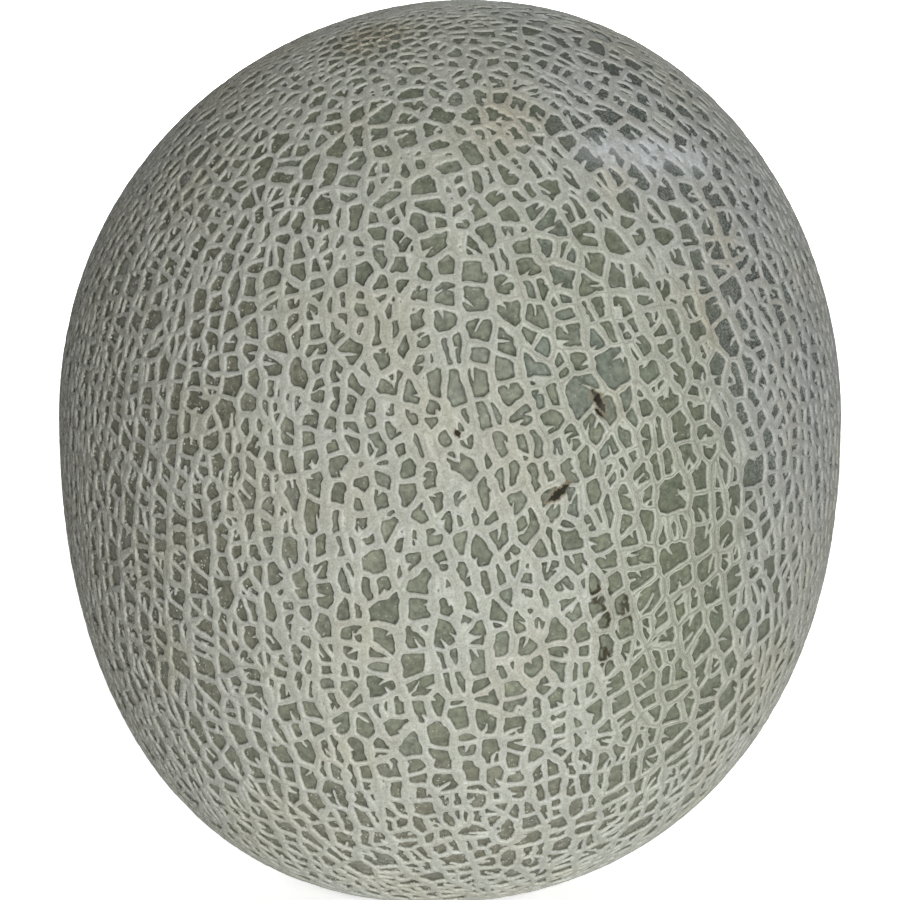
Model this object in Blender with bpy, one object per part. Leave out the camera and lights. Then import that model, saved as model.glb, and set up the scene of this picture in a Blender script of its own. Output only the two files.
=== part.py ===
"""A whole cantaloupe melon, standing on the small flat spot at its base.

The fruit grew as one piece, so it is one closed solid. Every level of it is a circle.
Its half-width follows one superellipse above the widest level and a squarer one below,
and the levels drift sideways towards the crown, because no melon grows quite straight.
Metres, +Z up, the flat spot on z = 0, the front towards -Y.
"""

import math

import bmesh
import bpy

# The outside, as grown
BELLY_RADIUS = 0.075          # half the width at the widest level
BELLY_HEIGHT = 0.092          # how high the widest level is above the flat spot
CROWN_RISE = 0.080            # from the widest level up to the crown
BASE_DROP = 0.0932            # from the widest level down to where the base would round off
CROWN_SQUARENESS = 2.02       # superellipse exponent above the widest level: 2 is an ellipse
BASE_SQUARENESS = 2.26        # and below it, where the fruit has settled and is fuller
SIDEWAYS_DRIFT = 0.0035       # how far the crown has drifted to +X, and the base to -X

# How finely the round shape is divided
MERIDIANS = 72
LEVELS = 48

# The plain finish: rind-green skin and pale net, seen together as one colour
RIND_COLOUR = (0.31, 0.32, 0.26, 1.0)
RIND_ROUGHNESS = 0.72


def clear_scene():
    for thing in list(bpy.data.objects):
        bpy.data.objects.remove(thing, do_unlink=True)


def girth(level):
    """The radius at a level, from -1 at the rounded-off base to 1 at the crown."""
    squareness = CROWN_SQUARENESS if level > 0 else BASE_SQUARENESS
    fullness = 1 - abs(level) ** squareness
    return BELLY_RADIUS * max(fullness, 0) ** (1 / squareness)


def height(level):
    return BELLY_HEIGHT + level * (CROWN_RISE if level > 0 else BASE_DROP)


def drift(level):
    return SIDEWAYS_DRIFT * level ** 3


def grow(ball):
    """Moves the points of a ball of radius 1 out to the melon's outside."""
    for point in ball.verts:
        level = max(-1.0, min(1.0, point.co.z))
        heading = math.atan2(point.co.y, point.co.x)
        radius = girth(level)
        point.co.x = radius * math.cos(heading) + drift(level)
        point.co.y = radius * math.sin(heading)
        point.co.z = height(level)


def settle(body):
    """Cuts the base off level at z = 0 and closes it with one flat face."""
    everything = body.verts[:] + body.edges[:] + body.faces[:]
    bmesh.ops.bisect_plane(
        body, geom=everything, plane_co=(0, 0, 0), plane_no=(0, 0, 1), clear_inner=True
    )
    rim = [edge for edge in body.edges if edge.is_boundary]
    bmesh.ops.contextual_create(body, geom=rim)
    bmesh.ops.recalc_face_normals(body, faces=body.faces[:])


def rind_material():
    material = bpy.data.materials.new("rind")
    material.use_nodes = True
    shader = material.node_tree.nodes["Principled BSDF"]
    shader.inputs["Base Color"].default_value = RIND_COLOUR
    shader.inputs["Roughness"].default_value = RIND_ROUGHNESS
    shader.inputs["Metallic"].default_value = 0.0
    return material


def make_melon():
    body = bmesh.new()
    bmesh.ops.create_uvsphere(body, u_segments=MERIDIANS, v_segments=LEVELS, radius=1.0)
    grow(body)
    settle(body)
    mesh = bpy.data.meshes.new("cantaloupe_melon")
    body.to_mesh(mesh)
    body.free()
    mesh.shade_smooth()
    for face in mesh.polygons:
        face.use_smooth = face.normal.z > -0.9999
    mesh.materials.append(rind_material())
    melon = bpy.data.objects.new("cantaloupe_melon", mesh)
    bpy.context.scene.collection.objects.link(melon)
    return melon


clear_scene()
make_melon()
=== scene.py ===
"""The looks of the cantaloupe melon: its netted rind, grown over the CAD solid's own shape.

The net is real relief. Seeds are scattered in columns from one end of the fruit to the other, and
the ground nearest to each seed is a cell. Late cracks part the larger cells again. Cork lies along
every crack, wide on the first ones and narrow on the late ones, and what is left open in the
middle of a cell is skin. Lengths are in millimetres until the meshes are made.
"""

import math
import random

import bmesh
import bpy
import numpy as np
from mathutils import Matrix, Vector, geometry, noise


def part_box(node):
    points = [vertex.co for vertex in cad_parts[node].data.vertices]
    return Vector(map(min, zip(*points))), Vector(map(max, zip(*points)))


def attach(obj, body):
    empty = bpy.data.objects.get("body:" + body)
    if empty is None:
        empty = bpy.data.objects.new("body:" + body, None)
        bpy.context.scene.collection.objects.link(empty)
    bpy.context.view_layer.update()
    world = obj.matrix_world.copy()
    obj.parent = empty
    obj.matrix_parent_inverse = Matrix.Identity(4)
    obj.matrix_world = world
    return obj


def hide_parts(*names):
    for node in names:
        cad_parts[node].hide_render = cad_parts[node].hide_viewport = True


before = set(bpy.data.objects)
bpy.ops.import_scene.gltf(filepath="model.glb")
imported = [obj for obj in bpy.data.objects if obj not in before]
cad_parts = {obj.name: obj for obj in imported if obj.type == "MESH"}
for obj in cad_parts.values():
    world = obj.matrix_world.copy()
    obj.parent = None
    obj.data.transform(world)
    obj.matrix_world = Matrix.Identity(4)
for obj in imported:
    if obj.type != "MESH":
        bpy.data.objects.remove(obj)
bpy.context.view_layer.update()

MM = 0.001
SEED = 7

# The outside of the fruit, by the same formula as the CAD solid
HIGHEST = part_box("cantaloupe_melon")[1] / MM
BELLY_RADIUS = round(HIGHEST.x, 1)
BELLY_HEIGHT = 92.0
CROWN_RISE = round(HIGHEST.z, 1) - BELLY_HEIGHT
BASE_DROP = 93.2
CROWN_SQUARENESS = 2.02
BASE_SQUARENESS = 2.26
SIDEWAYS_DRIFT = 3.5

# Patches of the rind: heading right of the front in degrees, height in mm, and half sizes
GREEN_BAND = (35, 74, 12, 44)
UPPER_BAND = (18, 115, 9, 28)
OPEN_SHOULDER = (50, 140, 24, 26)
ROUND_SHOULDER = (58, 116, 26, 50)
LOW_CROWN = (0, 178, 180, 34)
FROSTED = ((64, 118, 26, 50), (45, 152, 26, 17))
SPECKLED = ((-52, 88, 40, 70), (0, 12, 60, 30))
SMEARED = ((31, 147, 6, 2.5), (41, 146, 8, 3), (50, 144, 5, 2.5))
RAGGED = ((-66, 88, 40, 75), (0, 160, 100, 17), (0, 8, 90, 24), (64, 140, 26, 34))
THIN_NET = ((-62, 80, 30, 70), (0, 14, 110, 34), (-34, 95, 12, 60), (17, 100, 9, 50))
SWOLLEN = (24, 104, 2, 4)
BLUSHED = (SWOLLEN, (30, 142, 4, 5), (48, 129, 4, 6), (-39, 100, 3, 5), (13, 153, 6, 6), (41, 117, 3, 7))

# How much the rind has of something in each patch: the most there, and the patch
# Painted shade: the rind is darker towards its left and right sides and at the crown, where the light
# falls off; on the left it is partly the rind's own darker openings
PAINTED_SHADE_PATCHES = ((0.5, (-88, 80, 48, 110)), (0.5, (88, 90, 38, 110)), (0.12, (0, 182, 180, 26)))
FIBROUS = ((1.0, (-88, 80, 42, 110)), (0.4, (86, 105, 20, 70)))
LOOSENESS = (
    (0.36, GREEN_BAND),
    (0.22, UPPER_BAND),
    (-0.12, (-40, 130, 30, 30)),
    (-0.16, (20, 66, 9, 16)),
    (0.11, (2, 92, 24, 46)),
    (0.2, OPEN_SHOULDER),
    (-0.06, (0, 8, 90, 30)),
    (-0.05, (-60, 70, 24, 50)),
    (-0.18, (-90, 80, 22, 60)),
)

# Cracks in the cork: heading and height of the middle, length, lean to the right on the way
# down in degrees, and half-width
SPLITS = (
    (21, 104, 4.5, 30, 0.65),
    (21, 102, 2, 45, 0.4),
    (15, 88, 5.5, -50, 0.6),
    (1, 99, 1.5, 30, 0.4),
)
# Brown streaks in the openings, the same way
STREAKS = (
    (21, 69, 5.5, 10, 0.8),
    (23, 66, 6, 5, 0.9),
    (23, 58, 7, 10, 0.9),
    (26, 65, 8, 5, 0.7),
)

# How the net lies: it runs from the stem end, underneath, to the blossom end, near the crown
BLOSSOM_LEAN_LEFT = 11.0      # degrees
BLOSSOM_LEAN_FRONT = 17.0
BLOSSOM_SCAR = 8.0            # mm, its radius
SCAR_TIGHTNESS = 0.3          # how much closer the strands stand in it
ORDERLY_FROM = 42.0           # mm from the net's ends, where it begins to lie in columns
ROUND_RADIUS = BELLY_RADIUS * 1.06    # mm for each radian round the net's axis, about
LONG_RADIUS = ROUND_RADIUS * 1.06     # mm for each radian along it, about
SWAYS = ((0.11, 2.2, (3, 1, 7)), (0.035, 7.0, (0, 0, 0)))  # radians, waves a radian, and shift

# Seeds of the first cells
GORES = 16                    # how many parts go round the net, each with columns of its own
STRETCHES = (30, 70)          # mm, how far along a gore its columns keep their places
END_CAP = 9.0                 # degrees round each end that have no columns
CAP_TRIES = 900
CAP_GAP = 2.3                 # mm
COLUMN_WIDTH = 4.5            # mm
COLUMN_SPREAD = (0.66, 1.36)  # the narrowest and widest columns, as shares of that
RUNG_GAP = 4.6                # mm between seeds along a column
RUNG_SPREAD = 0.38
ROUND_SHORTENING = 0.16       # how much closer they lie on the round shoulder
JITTER = 0.35                 # mm, how far seeds stray sideways
END_DISORDER = 2.4            # how much farther they stray near the net's ends
COLUMN_PULL = 0.2             # how much straighter the long strands run than chance has them
LONGEST_FORK = 1.3            # mm from the middle of three seeds to where their strands meet

# Late cracks
CELL_AREA = 26.0              # mm2, about where a cell stops dividing
AREA_SPREAD = 0.5
BROAD_SPREAD = 0.35           # how much that area drifts from region to region
BROAD_WAVES = 0.035           # waves a mm of that drift, about
SMALLEST_SPLIT = 16.0         # mm2, below this a cell never divides
TALL_CELL = 1.28              # how much taller than wide a cell is to crack across
TALLNESS_SPREAD = 0.22
ALONG_WANDER = 0.16           # radians, how much the cracks stray from the net's run
ACROSS_WANDER = 0.3
LARGE_CELL = 300.0            # mm2, where they stray least
OFF_CENTRE = 0.14             # how far from the cell's middle, as a share of its size
CRACK_BOW = 0.07              # how bowed a crack is, as a share of its length
CRACK_WANDER = 0.13           # mm
SNAP = 0.3                    # mm, the shortest side of a cell
POINT_GAP = 1.1               # mm between points along the strands
LONGEST_SIDE = 1.35           # mm

# Strands, by their half-widths in mm
ALONG_STRAND = 0.86
ACROSS_STRAND = 0.46
FIRST_SPREAD = (0.68, 1.32)
DISORDERLY_WIDTH = 0.35       # where between the two the strands are that lie out of order
END_THINNING = 0.42
FINE_ENDS = 14.0              # mm from the net's ends, where its strands are thin
WIDEST_LATE_STRAND = 0.62
NARROWEST_LATE_STRAND = 0.34
WIDEST_IN = 60.0              # mm2, the cell whose cracks fill with the widest late strands
NARROWEST_IN = 14.0
ALONG_WIDENING = 1.12         # how much wider late strands are along the net's run
ACROSS_WIDENING = 0.92
LATE_SPREAD = (0.75, 1.25)
STRAND_UNEVENNESS = 0.16
THINNING = 0.15               # how much thinner the strands of the thin net are
THICKENING = 0.1              # and how much thicker those of the open shoulder
FILLET = 0.07                 # how softly strands run into each other
CLOSEST_FORKS = 0.35          # mm, closer forks become one
SETTLING_ROUNDS = 6
SETTLING = 0.4                # how far a point goes towards its neighbours in each round
CROOKEDNESS = 0.26
CROOKED_WAVES = 0.55          # waves a mm, about

# Spurs: short strands that stop inside a cell
SPUR_CHANCES = (0.44, 0.2, 0.08)
SPUR_ROOM = 15.0              # mm2, the cell that has them as often as the chances say
SPUR_CROWD = 1.6              # how much more often the largest cells have them
SPUR_ROOT = 0.36
SPUR_TIP = 0.1
SPUR_BEND = 0.55              # how far along it a spur bends
SPUR_LENGTHS = (0.6, 1.3)     # shares of the way from its root to the cell's middle
SPUR_SIZES = (0.75, 1.25)

# Relief, mm from the smooth outside
NET_HEIGHT = 0.35
STRAND_DOME = 0.13            # how much higher a strand is along its middle
WIDE_STRAND = 1.6             # how wide the strands are that lie flattest
GROOVE = 0.26                 # how deep the strands of the green band are split
SKIN_DEPTH = -0.3
LEAST_DEPTH = 0.45            # how deep the narrowest openings are, as a share of that
DEPTH_GAIN = 0.7              # and how much deeper for each mm of room
LOW_RELIEF = 0.55             # how much shallower the openings of the low crown are
LIP_WIDTH = 0.2
WALL_RUN = 0.15
EDGE_ROUNDING = 0.09
CLOSED_DIP = 0.12             # how much lower a cell is in the middle that has no opening
SKIN_SWELL = 0.1
CORK_UNEVENNESS = 0.07
CORK_WAVES = 0.9              # waves a mm, about
SPLIT_DEPTH = 0.55
SWELLING = 0.15
ON_CORK = -0.05               # mm from the cork's edge, from where the ground counts as cork
RESTING_HEIGHT = NET_HEIGHT + 0.02    # mm, below this the net is pressed flat
FRAY = 0.05                   # how uneven the cork's edge is
FRAY_WAVES = (1.5, 3.9)       # the shortest and longest waves of that
RAGGED_FRAY = 0.09            # and how much more uneven in the ragged patches
RAGGED_WAVES = (0.65, 1.4)
SMEAR_REACH = 0.22            # how far smeared cork spreads into the openings
WAVES = 14

# Each cell's map, and what is drawn from it
SPOTS_ACROSS = 26
SPOTS_ALONG = 30
FLOOR_EVERY = 4               # map steps between the points on an opening's skin
FLOOR_ROOM = 0.42             # mm, how far they keep from the cork
SMALLEST_OPENING = 0.12       # mm2
SMALL_OPENING = 0.7           # mm2, below this an opening has one point on its skin
RINGS = (("lip", -LIP_WIDTH, 0.85), ("edge", 0.0, 0.62), ("foot", WALL_RUN, 0.85))
CORNER_WEIGHT = 0.35          # mm of outline that a radian of turning counts as
RAGGED_DETAIL = 0.22
BACK_COARSENESS = 0.5

# The rind is one thing, drawn as six meshes to keep each of them light
SECTORS = (
    "rind_front",
    "rind_front_right",
    "rind_back_right",
    "rind_back",
    "rind_back_left",
    "rind_front_left",
)
SECTOR_WIDTH = 360 / len(SECTORS)
# The flat map of each sector, which its colours can be drawn on
FLAT_REACH = 44.0             # mm from its middle to its side
FLAT_OVERLAP = 0.08           # how far each half of it passes the belly, in radians

# Colours of the cork, and its tints, which it is multiplied by. The cork's colours are lightest just
# inside its edge: a painted highlight on the rims.
CORK = (
    (0.0, (0.31, 0.32, 0.285)),
    (0.1, (0.36, 0.373, 0.333)),
    (0.19, (0.352, 0.365, 0.325)),
    (0.38, (0.33, 0.34, 0.30)),
    (1.0, (0.305, 0.315, 0.272)),
)
# Painted highlight: the light along the cork's rims
PAINTED_RIM_HIGHLIGHT = (0.44, 0.455, 0.415)
# Painted shade: what the cork turns towards on the shaded sides and crown
PAINTED_SHADE_CORK = (0.21, 0.208, 0.185)
# Painted shade: the dark line in the groove down the middle of the strands
PAINTED_GROOVE_SHADE = (0.13, 0.13, 0.10)
SEAM = (0.12, 0.115, 0.09)
SCAR = (0.185, 0.172, 0.125)
SCAR_THREAD = (0.41, 0.385, 0.31)
FIBRE = (0.1, 0.09, 0.065)
SMEAR = (0.43, 0.455, 0.465)
GREEN_TINT = (0.885, 0.905, 0.825)
WARM_TINT = (1.0, 0.97, 0.90)
BLUSH_TINT = (1.01, 0.97, 0.92)
FROST_TINT = (0.96, 0.97, 1.05)

# Colours of the skin
SKIN = (
    (0.0, (0.1, 0.112, 0.08)),
    (0.3, (0.13, 0.143, 0.102)),
    (0.6, (0.125, 0.135, 0.096)),
    (0.85, (0.135, 0.151, 0.116)),
    (1.0, (0.152, 0.166, 0.12)),
)
COOL_SKIN = (0.12, 0.146, 0.132)
GREEN_SKIN = (0.104, 0.12, 0.076)
SPECKLED_TINT = (0.94, 0.855, 0.87)
SPECK = (0.44, 0.45, 0.40)
CRUMB = (0.3, 0.305, 0.27)
DARK_SKIN = (0.034, 0.04, 0.034)
FROST = (0.2, 0.218, 0.21)
SMEARED_SKIN = (0.27, 0.295, 0.3)
STREAK = (0.045, 0.042, 0.024)
SPLIT_RIM = (0.15, 0.12, 0.07)
SPLIT_DARK = (0.012, 0.011, 0.006)

# Lamps: name, place in m, power in W, width in m and colour. Each faces the fruit.
LAMPS = (
    ("key_light", (0.4, -2.4, 0.16), 129, 1.3, (1.0, 0.99, 0.98)),
    ("back_light", (0, 2.4, 0.6), 52, 1.4, (0.98, 0.99, 1.0)),
    ("left_light", (-1.8, 1.2, 0.8), 8, 1.2, (0.98, 0.99, 1.0)),
    ("right_light", (1.8, 1.2, 0.8), 6, 1.2, (0.98, 0.99, 1.0)),
    ("top_light", (0, 0.5, 1.7), 3.0, 0.8, (0.98, 0.99, 1.0)),
    ("bounce_light", (0, 0, 0.001), 0.27, 0.4, (1.0, 1.0, 0.98)),
)
LAMP_AIM = (0, 0, 0.08)
WORLD_COLOUR = (0.97, 0.98, 1.0)
WORLD_LIGHT = 0.1

# The floor: its glow near and far, and its profile from the middle out, in m
FLOOR_GLOW = (0.2, 3.0, 0.62, 0.95)
FLOOR_PROFILE = ((0.0, 0.0), (1.6, 0.0), (2.2, 0.03), (2.6, 0.12), (2.85, 0.3), (2.95, 0.6))
FLOOR_SIDES = 96

# The camera, in degrees, m and mm
CAMERA_ELEVATION = 8
CAMERA_DISTANCE = 0.9
CAMERA_AIM = (0, 0, 0.0855)
VIEW_WIDTH = 0.1745           # m across the view, where the fruit is
SENSOR_WIDTH = 36


# ---------------------------------------------------------------- the shape of the fruit

def outside_at(points):
    """How far each point is outside the rind, as a share, the slope there, and the squareness."""
    x, y, z = points[:, 0], points[:, 1], points[:, 2]
    above = z > BELLY_HEIGHT
    reach = np.where(above, CROWN_RISE, BASE_DROP)
    power = np.where(above, CROWN_SQUARENESS, BASE_SQUARENESS)
    level = (z - BELLY_HEIGHT) / reach
    sideways = x - SIDEWAYS_DRIFT * level ** 3
    girth = np.maximum(np.hypot(sideways, y) / BELLY_RADIUS, 1e-6)
    steepness = np.maximum(np.abs(level), 1e-6)
    value = girth ** power + steepness ** power - 1
    pull = power * girth ** (power - 2) / BELLY_RADIUS ** 2
    slope_x = pull * sideways
    slope_y = pull * y
    slope_z = power * steepness ** (power - 1) * np.sign(level) / reach
    slope_z = slope_z - slope_x * 3 * SIDEWAYS_DRIFT * level ** 2 / reach
    return value, np.stack([slope_x, slope_y, slope_z], 1), power


def onto_rind(points, rounds=3):
    """The points moved onto the smooth rind by the shortest way, and which way is out there."""
    points = np.array(points, float)
    for _ in range(rounds):
        value, slope, _ = outside_at(points)
        points -= slope * (value / (slope ** 2).sum(1))[:, None]
    slope = outside_at(points)[1]
    return points, slope / np.linalg.norm(slope, axis=1)[:, None]


def seen_from_middle(directions):
    """The points of the rind in these directions from the middle of the fruit."""
    middle = np.array([0, 0, BELLY_HEIGHT])
    points = middle + np.asarray(directions, float) * BELLY_RADIUS
    for _ in range(4):
        value, _, power = outside_at(points)
        points = middle + (points - middle) / (value + 1)[:, None] ** (1 / power)[:, None]
    return onto_rind(points)[0]


def net_axis():
    """From the middle of the fruit to its blossom end."""
    left = math.tan(math.radians(BLOSSOM_LEAN_LEFT))
    front = math.tan(math.radians(BLOSSOM_LEAN_FRONT))
    return Vector((-left, -front, 1)).normalized()


AXIS = net_axis()
ACROSS = AXIS.cross(Vector((0, 1, 0))).normalized()
AWAY = AXIS.cross(ACROSS).normalized()


def direction_of(longitude, colatitude):
    """A direction from its angles about the net's own axis, in radians; longitude 0 faces front."""
    ring = ACROSS * math.sin(longitude) - AWAY * math.cos(longitude)
    return AXIS * math.cos(colatitude) + ring * math.sin(colatitude)


def heading_of(points):
    """How far right of the front each point is, in degrees."""
    return np.degrees(np.arctan2(points[:, 0], -points[:, 1]))


def patch(points, heading, height, half_turn, half_height):
    """How much each point is in an oval patch of the rind: 1 in the middle, 0 well outside."""
    turn = (heading_of(points) - heading + 180) % 360 - 180
    off = (turn / half_turn) ** 2 + ((points[:, 2] - height) / half_height) ** 2
    return np.exp(-off ** 1.5)


def patches(points, ovals):
    """How much each point is in the nearest of several patches."""
    return np.max([patch(points, *oval) for oval in ovals], axis=0)


def strongest(points, amounts):
    """The same for patches that each come after the most they have of something."""
    return np.max([most * patch(points, *oval) for most, oval in amounts], axis=0)


def place_at(heading, height):
    """The place on the smooth rind at a heading, in degrees, and a height."""
    way = np.array([math.sin(math.radians(heading)), -math.cos(math.radians(heading))])
    point = np.array([[*(way * BELLY_RADIUS), height]])
    for _ in range(6):
        value, slope, _ = outside_at(point)
        point[0, :2] -= way * (value / (slope[:, :2] @ way))
    return point[0]


def ends_of(heading, height, length, lean):
    """The upper and the lower end of a short line on the rind."""
    down = length / 2 * math.cos(math.radians(lean))
    right = math.degrees(length / 2 * math.sin(math.radians(lean)) / BELLY_RADIUS)
    return place_at(heading - right, height + down), place_at(heading + right, height - down)


def off_lines(points, lines):
    """How far each point is from the nearest of the lines, in half-widths."""
    nearest = np.full(len(points), np.inf)
    for *line, half_width in lines:
        start, end = ends_of(*line)
        span = end - start
        share = np.clip((points - start) @ span / (span @ span), 0, 1)
        away = np.linalg.norm(points - start - share[:, None] * span, axis=1)
        nearest = np.minimum(nearest, away / half_width)
    return nearest


BLOSSOM_END, STEM_END = seen_from_middle([tuple(AXIS), tuple(-AXIS)])


def scar_at(points):
    """How much each point is in the blossom scar: 1 in its middle, 0 well outside."""
    return np.exp(-(np.linalg.norm(points - BLOSSOM_END, axis=1) / BLOSSOM_SCAR) ** 3)


# ---------------------------------------------------------------- the cracks

def looseness_at(points):
    """How far apart the net's strands stand there, as a share of the usual."""
    loose = np.ones(len(points))
    for amount, oval in LOOSENESS:
        loose += amount * patch(points, *oval)
    return loose - SCAR_TIGHTNESS * scar_at(points)


def order_at(points):
    """How much the net lies in columns there: not near its ends, and fully round the belly."""
    away = [np.linalg.norm(points - end, axis=1) for end in (BLOSSOM_END, STEM_END)]
    return 1 - np.exp(-(np.min(away, axis=0) / ORDERLY_FROM) ** 2)


def run_of_net(out):
    """Along the net, towards the blossom end, and across it, where these ways are out."""
    axis = np.array(AXIS)
    along = axis - out * (out @ axis)[:, None]
    along /= np.maximum(np.linalg.norm(along, axis=1), 1e-3)[:, None]
    return along, np.cross(along, out)


def columns_across(width, rng):
    """The columns in a gore this wide: the middle of each, as a share of it, and its width."""
    count = max(1, round(width / COLUMN_WIDTH))
    widths = [rng.uniform(*COLUMN_SPREAD) for _ in range(count)]
    total = sum(widths)
    columns = []
    passed = 0.0
    for w in widths:
        columns.append(((passed + w / 2) / total, w / total * width))
        passed += w
    return columns


def sway(longitude, colatitude):
    """How far the columns wander sideways there, in radians: together, as the fruit swelled."""
    way = direction_of(longitude, colatitude)
    return sum(most * noise.noise(way * waves + Vector(shift)) for most, waves, shift in SWAYS)


def column_seeds(rng):
    """Seeds in wandering columns along the net, all the way round it."""
    top = math.radians(END_CAP)
    bottom = math.pi - top
    gore = 2 * math.pi / GORES
    seeds = []
    for k in range(GORES):
        colatitude = top
        while colatitude < bottom:
            stretch = min(colatitude + rng.uniform(*STRETCHES) / LONG_RADIUS, bottom)
            halfway = (colatitude + stretch) / 2
            spot = seen_from_middle([tuple(direction_of(gore * (k + 0.5), halfway))])
            loose = looseness_at(spot)[0]
            rung_gap = RUNG_GAP * loose * (1 - ROUND_SHORTENING * patch(spot, *ROUND_SHOULDER)[0])
            jitter = JITTER * (1 + END_DISORDER * (1 - order_at(spot)[0]))
            width = gore * math.sin(halfway) * ROUND_RADIUS / loose
            for share, own_width in columns_across(width, rng):
                place = colatitude + rng.uniform(0, 1) * rung_gap / LONG_RADIUS
                while place < stretch:
                    turn = gore * (k + share) + rng.gauss(0, jitter) / (ROUND_RADIUS * math.sin(place))
                    turn += sway(turn, place)
                    seeds.append(direction_of(turn, place))
                    gap = rung_gap * rng.lognormvariate(0, RUNG_SPREAD)
                    gap *= (COLUMN_WIDTH / own_width) ** 0.3
                    place += gap / LONG_RADIUS
            colatitude = stretch
    return seeds


def cap_seeds(end, rng):
    """Seeds scattered round an end of the net: the blossom end, at 0, or the stem end, at pi."""
    cap = math.radians(END_CAP)
    seeds = []
    for _ in range(CAP_TRIES):
        place = cap * math.sqrt(rng.random())
        way = direction_of(rng.uniform(0, 2 * math.pi), abs(end - place))
        if all((way - other).length * ROUND_RADIUS > CAP_GAP for other in seeds):
            seeds.append(way)
    return seeds


def scatter_seeds(rng):
    """Where the cells start: in wandering columns along the net, and close together at its ends."""
    seeds = column_seeds(rng) + cap_seeds(0, rng) + cap_seeds(math.pi, rng)
    return seen_from_middle([tuple(way) for way in seeds])


def hull_of(seeds):
    """The triangles between neighbouring seeds, as a mesh, and the same triangles in a fixed order.

    Blender makes the hull's faces in an order of its own, which changes from run to run.
    """
    hull = bmesh.new()
    number = hull.verts.layers.int.new("number")
    for k, seed in enumerate(seeds):
        hull.verts.new(seed)[number] = k
    bmesh.ops.convex_hull(hull, input=hull.verts[:])
    bmesh.ops.triangulate(hull, faces=hull.faces[:])
    bmesh.ops.recalc_face_normals(hull, faces=hull.faces[:])
    faces = sorted(hull.faces, key=lambda face: sorted(vert[number] for vert in face.verts))
    triangles = []
    for k, face in enumerate(faces):
        face.index = k
        verts = face.verts[:]
        while verts[0][number] != min(vert[number] for vert in verts):
            verts = verts[1:] + verts[:1]
        triangles.append([vert.co for vert in verts])
    return hull, triangles


def fork_between(triangle, run, pull):
    """Where the strands between three seeds meet: equally far from all three, on ground that is
    drawn together by the pull along the net's run."""
    middle = sum(triangle, Vector()) / 3
    a, b, c = (co - run * (co - middle).dot(run) * (1 - pull) for co in triangle)
    ab, ac = b - a, c - a
    turned = ab.cross(ac)
    ring = ac.length_squared * turned.cross(ab) + ab.length_squared * ac.cross(turned)
    fork = a + ring / (2 * max(turned.length_squared, 1e-9))
    fork += run * (fork - middle).dot(run) * (1 / pull - 1)
    reach = (fork - middle).length
    if reach > LONGEST_FORK:
        fork = middle + (fork - middle) * (LONGEST_FORK / reach)
    return fork


def first_cells(rng):
    """The net's first cells: the ground nearest to each seed."""
    hull, triangles = hull_of(scatter_seeds(rng))
    middles = np.array([sum(triangle, Vector()) / 3 for triangle in triangles])
    runs = run_of_net(onto_rind(middles)[1])[0]
    pulls = 1 - COLUMN_PULL * (1 - patch(middles, *ROUND_SHOULDER)) * order_at(middles)
    forks = [fork_between(*given) for given in zip(triangles, map(Vector, runs), pulls)]
    net = bmesh.new()
    strand_width = net.edges.layers.float.new("width")
    made = [net.verts.new(fork) for fork in onto_rind([tuple(fork) for fork in forks])[0]]
    for vert in hull.verts:
        if not vert.link_loops:
            continue
        around = []
        first = min(vert.link_loops, key=lambda loop: loop.face.index)
        loop = first
        while not around or loop is not first:
            around.append(made[loop.face.index])
            loop = loop.link_loop_prev.link_loop_radial_next
        net.faces.new(around)
    hull.free()
    for edge in net.edges:
        middle = (edge.verts[0].co + edge.verts[1].co) / 2
        span = (edge.verts[1].co - edge.verts[0].co).normalized()
        along = run_of_net(onto_rind([tuple(middle)])[1])[0][0]
        edge[strand_width] = first_strand_width(middle, abs(span.dot(Vector(along))), rng)
    return net


def first_strand_width(middle, upright, rng):
    """A first strand's half-width: wide along the columns, narrow across them, fine at the ends."""
    order = order_at(np.array([middle]))[0]
    along = upright ** 2 * order + DISORDERLY_WIDTH * (1 - order)
    width = ACROSS_STRAND + (ALONG_STRAND - ACROSS_STRAND) * along
    to_end = min((middle - Vector(end)).length for end in (BLOSSOM_END, STEM_END))
    width *= 1 - END_THINNING * math.exp(-(to_end / FINE_ENDS) ** 4)
    return width * rng.uniform(*FIRST_SPREAD)


def lay_flat(face):
    """A cell's corners on the flat, across the net's run and along it, its middle and its out."""
    corners = [loop.vert.co for loop in face.loops]
    middle = sum(corners, Vector()) / len(corners)
    out = Vector(onto_rind([middle])[1][0])
    along = AXIS - out * AXIS.dot(out)
    if along.length < 0.12:
        along = out.orthogonal()
    along.normalize()
    across = along.cross(out)
    return [((c - middle).dot(across), (c - middle).dot(along)) for c in corners], middle, out


def area_and_centroid(flat):
    """The area of an outline, and the middle of that area."""
    double = 0.0
    cx = 0.0
    cy = 0.0
    for (x0, y0), (x1, y1) in zip(flat, flat[1:] + flat[:1]):
        cross = x0 * y1 - x1 * y0
        double += cross
        cx += (x0 + x1) * cross
        cy += (y0 + y1) * cross
    if abs(double) < 1e-9:
        return 0.0, (0.0, 0.0)
    return abs(double) / 2, (cx / (3 * double), cy / (3 * double))


def where_line_leaves(flat, start, heading):
    """The two sides that a line through start crosses first: (corner number, share along)."""
    dx, dy = heading
    ahead = None
    behind = None
    count = len(flat)
    for i in range(count):
        x0, y0 = flat[i][0] - start[0], flat[i][1] - start[1]
        x1, y1 = flat[(i + 1) % count][0] - start[0], flat[(i + 1) % count][1] - start[1]
        side0 = dx * y0 - dy * x0
        side1 = dx * y1 - dy * x1
        if (side0 > 0) == (side1 > 0):
            continue
        share = side0 / (side0 - side1)
        reach = (x0 + (x1 - x0) * share) * dx + (y0 + (y1 - y0) * share) * dy
        if reach > 0 and (ahead is None or reach < ahead[2]):
            ahead = (i, share, reach)
        if reach <= 0 and (behind is None or reach > behind[2]):
            behind = (i, share, reach)
    return ahead, behind


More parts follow.
